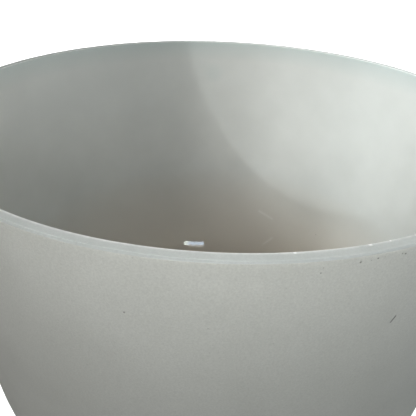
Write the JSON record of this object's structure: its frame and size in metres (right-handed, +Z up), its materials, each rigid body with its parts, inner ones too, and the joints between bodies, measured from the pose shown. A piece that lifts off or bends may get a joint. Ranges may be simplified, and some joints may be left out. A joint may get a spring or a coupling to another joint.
{
  "type": "crystal singing bowl",
  "caption": "Deep round frosted quartz bowl with a flat ground rim, standing on a rubber ring, struck or rubbed to ring.",
  "frame": {"origin": "centre of the rubber ring's foot, on the plane that the part stands on", "axes": "+Z up along the bowl's axis of revolution; X and Y are equivalent, because both pieces are bodies of revolution"},
  "size_m": [0.305, 0.305, 0.2542],
  "materials": {
    "frosted_quartz": "matte",
    "ring_rubber": "matte"
  },
  "bodies": {
    "ring": {"rubber_ring": "ring_rubber"},
    "bowl": {"bowl": "frosted_quartz"}
  },
  "joints": [
    {"name": "bowl_lift", "type": "slide", "parent": "ring", "child": "bowl", "axis": [0, 0, 1], "range_m": [0, 0.12]}
  ]
}
